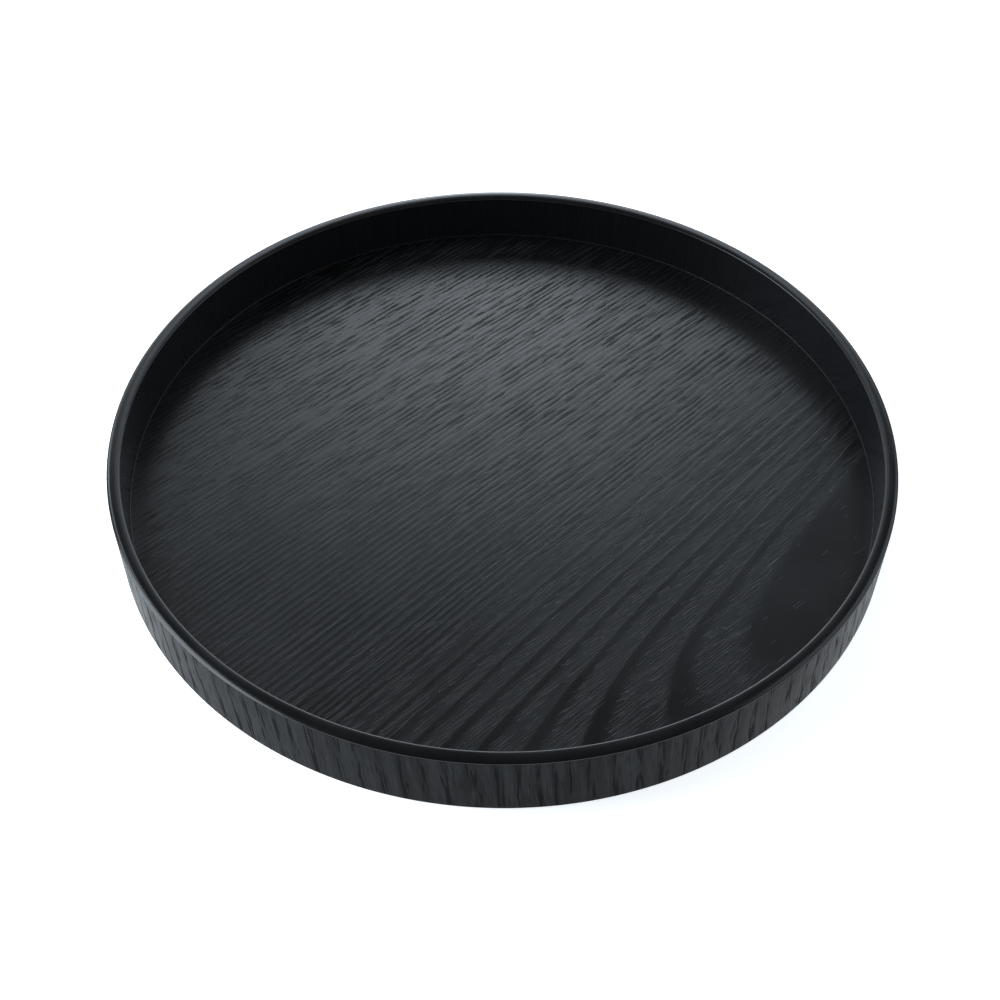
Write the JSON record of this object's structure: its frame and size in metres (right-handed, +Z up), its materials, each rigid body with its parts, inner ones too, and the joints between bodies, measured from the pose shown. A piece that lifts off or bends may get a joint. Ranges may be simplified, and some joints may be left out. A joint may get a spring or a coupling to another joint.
{
  "type": "serving tray",
  "caption": "Round flat serving tray in black-lacquered ash veneer: a level floor inside a low upright rim with a smooth rounded lip, for carrying food and drinks.",
  "frame": {"origin": "centre of the tray, on the plane that it stands on", "axes": "+Z up along the tray's axis; the rim veneer's joint is at the front right, between +X and -Y"},
  "size_m": [0.3, 0.3, 0.0275],
  "materials": {
    "lip_lacquer": "smooth black lacquer over filled bent wood, semi-gloss",
    "rim_veneer": "ash veneer with upright open-pored grain, black satin lacquer",
    "inner_facing": "smooth thin facing with faint upright grain, black satin lacquer",
    "floor_veneer": "flat-sawn ash veneer with open pores, black satin lacquer",
    "board_core": "fibreboard core, painted black",
    "back_veneer": "backing veneer, thin matt black lacquer"
  },
  "bodies": {
    "root": {"hoop_core": "lip_lacquer", "outer_veneer_band": "rim_veneer", "inner_face_band": "inner_facing", "base_top_veneer": "floor_veneer", "base_core": "board_core", "base_back_veneer": "back_veneer"}
  },
  "joints": []
}
